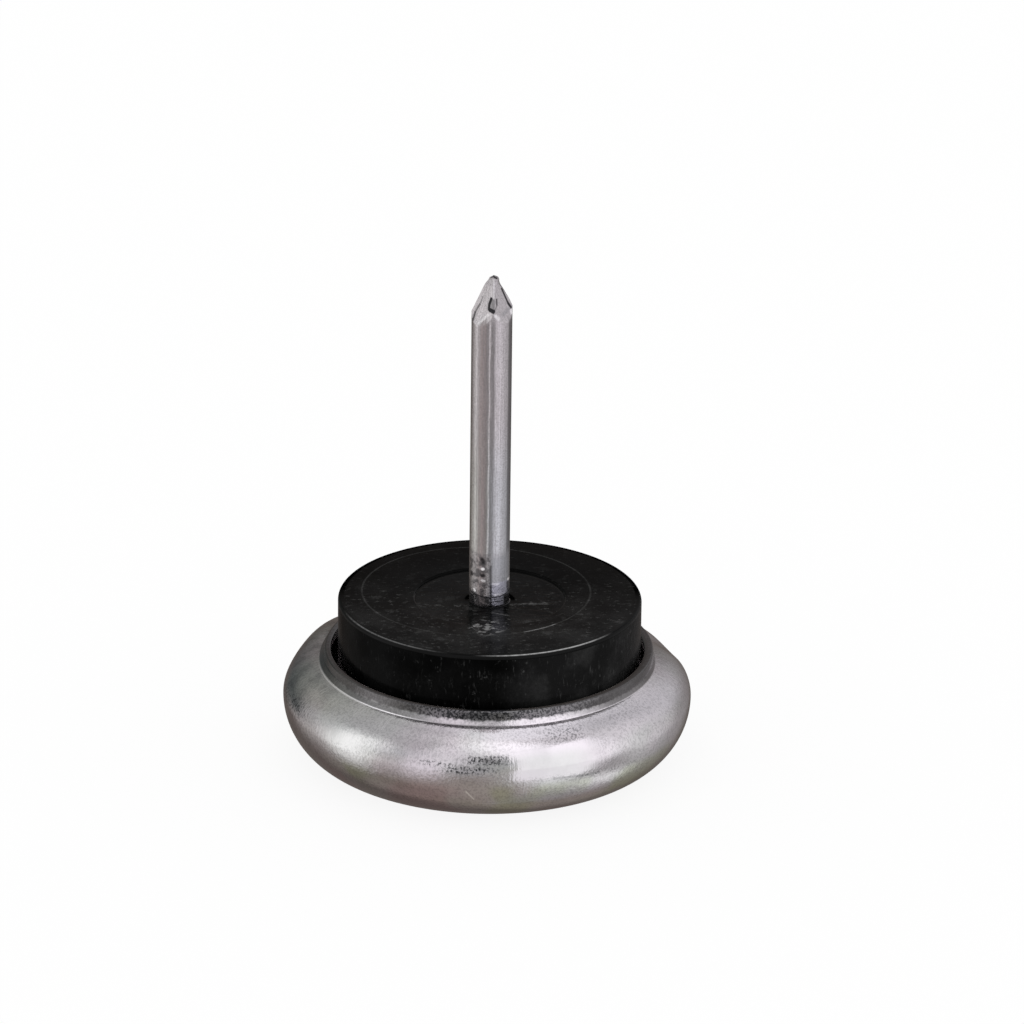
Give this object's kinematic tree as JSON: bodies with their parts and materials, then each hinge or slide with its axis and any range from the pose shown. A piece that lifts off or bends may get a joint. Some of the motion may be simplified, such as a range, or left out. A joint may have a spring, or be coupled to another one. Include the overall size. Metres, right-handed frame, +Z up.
{
  "type": "nail-on furniture glide with a rubber cushion",
  "caption": "Furniture glide for a wooden leg: a pointed nail set in a black rubber cushion, held in a rolled plated steel base.",
  "frame": {"origin": "centre of the foot, on the floor that the glide stands on", "axes": "+Z up along the nail, towards the leg that the glide is nailed into; the picture looks along +Y"},
  "size_m": [0.027, 0.027, 0.0333],
  "materials": {
    "cup_plating": "satin nickel plate",
    "rubber": "moulded, semi-gloss",
    "nail_plating": "drawn wire, bright zinc plate",
    "washer_steel": "plain zinc plate"
  },
  "bodies": {
    "root": {"base_cup": "cup_plating", "rubber_cushion": "rubber", "nail": "nail_plating", "nail_washer": "washer_steel"}
  },
  "joints": []
}
